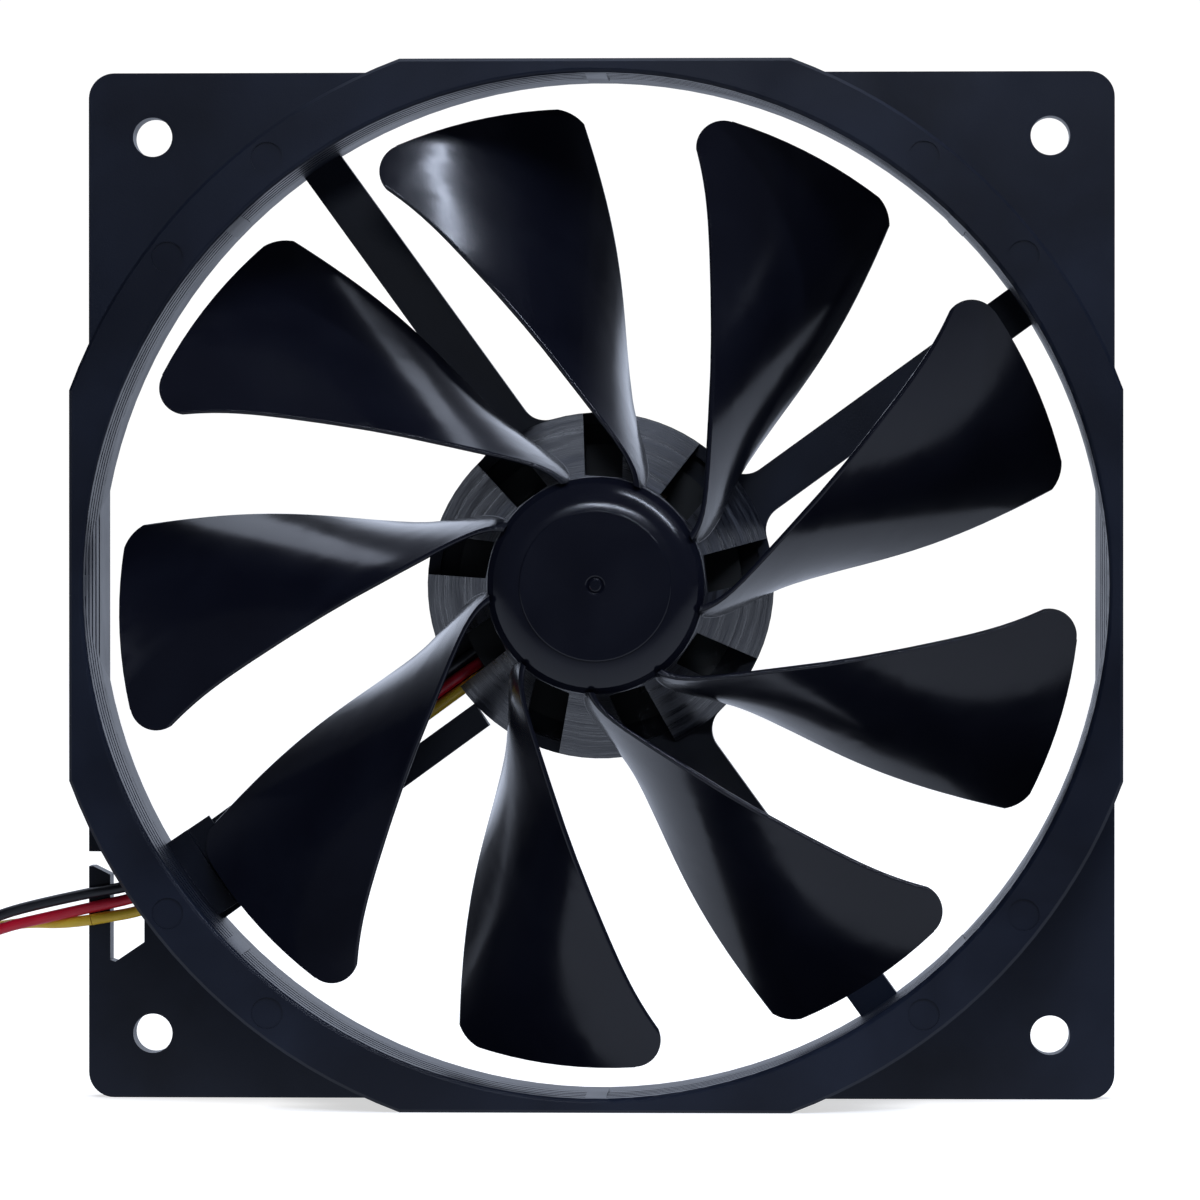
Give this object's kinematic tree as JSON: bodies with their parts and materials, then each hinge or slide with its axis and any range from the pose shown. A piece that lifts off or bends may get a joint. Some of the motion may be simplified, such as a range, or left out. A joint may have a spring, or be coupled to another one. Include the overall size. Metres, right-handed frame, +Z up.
{
  "type": "case fan",
  "caption": "Square axial cooling fan with a bladed impeller on a brushless hub motor, a strutted frame with corner mounting holes, and coloured leads ending in a socket.",
  "frame": {"origin": "middle of the square frame's footprint, on the surface that the fan stands on", "axes": "+Z up, +Y along the fan's axis from the intake to the struts, +X to the right seen from the intake"},
  "size_m": [0.1831, 0.0376, 0.12],
  "materials": {
    "frame_plastic": "satin black moulded PBT with a faint blue cast",
    "impeller_plastic": "semi-gloss black moulded PBT",
    "steel": "drawn, zinc-plated steel cup",
    "magnet": "rubber-bonded ferrite",
    "shaft_steel": "ground stainless steel",
    "nylon": "natural nylon",
    "bronze": "oil-filled sintered bronze",
    "lamination_steel": "stacked silicon-steel laminations",
    "insulator_nylon": "natural nylon",
    "copper": "enamelled copper winding",
    "board": "black solder mask on glass-epoxy",
    "solder": "bright tin solder",
    "component_black": "moulded epoxy",
    "ceramic": "tan ceramic with tinned ends",
    "label": "plain silver-grey film, nothing printed",
    "wire_black": "satin PVC insulation",
    "wire_red": "satin PVC insulation",
    "wire_yellow": "satin PVC insulation",
    "tie_nylon": "black nylon cable tie",
    "plug_plastic": "satin black nylon",
    "tinned_brass": "tin-plated brass contacts"
  },
  "bodies": {
    "stator": {"frame": "frame_plastic", "sleeve_bearing": "bronze", "oil_seal": "nylon", "bearing_cap": "nylon", "thrust_pad": "nylon", "stator_core": "lamination_steel", "front_insulator": "insulator_nylon", "rear_insulator": "insulator_nylon", "coil_1": "copper", "coil_2": "copper", "coil_3": "copper", "coil_4": "copper", "circuit_board": "board", "winding_pins": "solder", "driver_chip": "component_black", "capacitor": "ceramic", "diode": "component_black", "resistor_1": "component_black", "resistor_2": "component_black", "rear_label": "label", "black_lead": "wire_black", "red_lead": "wire_red", "yellow_lead": "wire_yellow", "solder_joints": "solder", "black_wire": "wire_black", "red_wire": "wire_red", "yellow_wire": "wire_yellow", "black_tail": "wire_black", "red_tail": "wire_red", "yellow_tail": "wire_yellow", "wire_coil": "wire_black", "coil_tie": "tie_nylon", "connector_housing": "plug_plastic", "crimp_terminals": "tinned_brass"},
    "rotor": {"impeller": "impeller_plastic", "rotor_yoke": "steel", "ring_magnet": "magnet", "shaft": "shaft_steel", "retaining_clip": "nylon"}
  },
  "joints": [
    {"name": "impeller_spin", "type": "hinge", "parent": "stator", "child": "rotor", "pos_m": [0, 0, 0.06], "axis": [0, -1, 0], "continuous": true}
  ]
}
